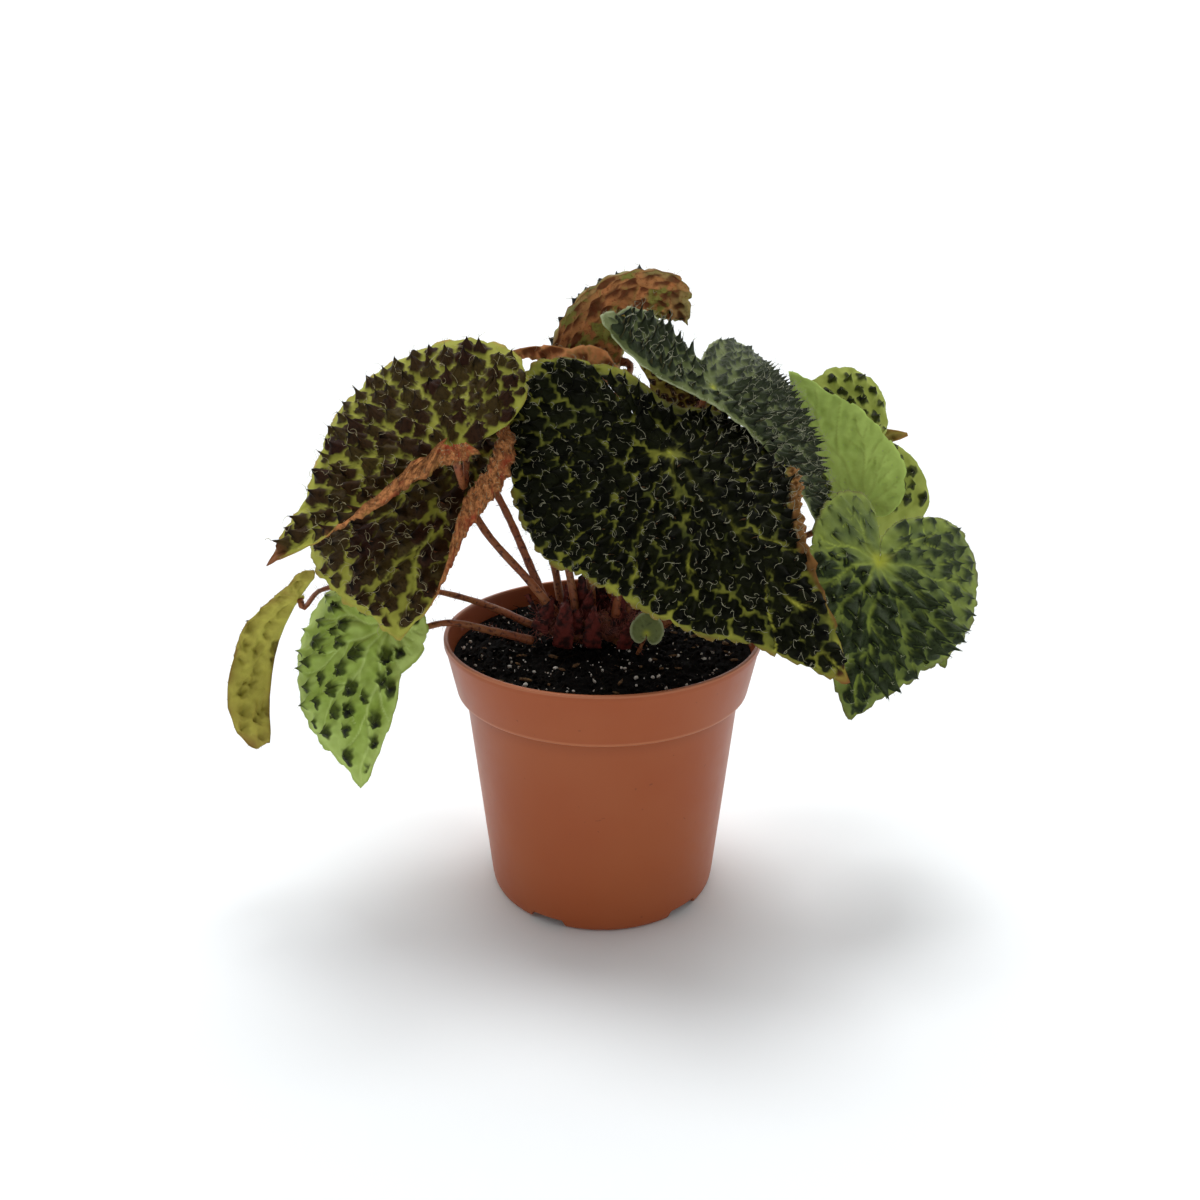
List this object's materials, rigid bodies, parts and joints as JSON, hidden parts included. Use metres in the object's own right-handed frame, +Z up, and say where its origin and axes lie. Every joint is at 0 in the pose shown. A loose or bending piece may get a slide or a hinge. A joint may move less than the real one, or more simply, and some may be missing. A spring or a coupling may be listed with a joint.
{
  "type": "potted begonia",
  "caption": "Bullate-leaved begonia in a moulded nursery pot: heart-shaped leaves studded with hair-tipped cones, some rolled or curled, on hairy red-brown stalks",
  "frame": {"origin": "on the pot's axis, at the floor it stands on, below the middle of the plant's spread", "axes": "+Z up the pot's axis, +X along the plant's longest spread to the right as seen from the front, -Y towards the front"},
  "size_m": [0.2764, 0.1418, 0.2341],
  "materials": {
    "terracotta_plastic": "satin moulded plastic, terracotta colour, faint scuffs",
    "peat": "loose near-black peat with white perlite grains and bark bits",
    "stem": "red-brown hairy stalk, slightly glossy",
    "stipule": "pink-red papery scale",
    "leaf_dark": "blackish-brown cones with pale green veins, satin, each cone tipped with a hair",
    "leaf_fresh": "fresh green with dark-tipped cones and paler veins, satin",
    "leaf_brown": "orange-brown underside with dark red pits, matte"
  },
  "bodies": {
    "root": {"pot": "terracotta_plastic", "soil": "peat", "rhizome": "stem", "stipule_left": "stipule", "stipule_middle": "stipule", "stipule_right": "stipule", "leaf_upper_left": "leaf_dark", "petiole_upper_left": "stem", "leaf_lower_left": "leaf_dark", "petiole_lower_left": "stem", "leaf_young_left": "leaf_fresh", "petiole_young_left": "stem", "leaf_far_left": "leaf_dark", "petiole_far_left": "stem", "leaf_front": "leaf_dark", "petiole_front": "stem", "leaf_top_right": "leaf_dark", "petiole_top_right": "stem", "leaf_low_right": "leaf_dark", "petiole_low_right": "stem", "leaf_under_right": "leaf_dark", "petiole_under_right": "stem", "leaf_right_folded": "leaf_fresh", "petiole_right_folded": "stem", "leaf_right_back": "leaf_fresh", "petiole_right_back": "stem", "leaf_crown_curled": "leaf_brown", "petiole_crown_curled": "stem", "leaf_back_low": "leaf_brown", "petiole_back_low": "stem", "leaf_crumpled": "leaf_dark", "petiole_crumpled": "stem", "leaf_seedling": "leaf_fresh", "petiole_seedling": "stem", "leaf_back_left": "leaf_dark", "petiole_back_left": "stem", "leaf_back": "leaf_dark", "petiole_back": "stem", "leaf_back_right": "leaf_dark", "petiole_back_right": "stem"}
  },
  "joints": []
}
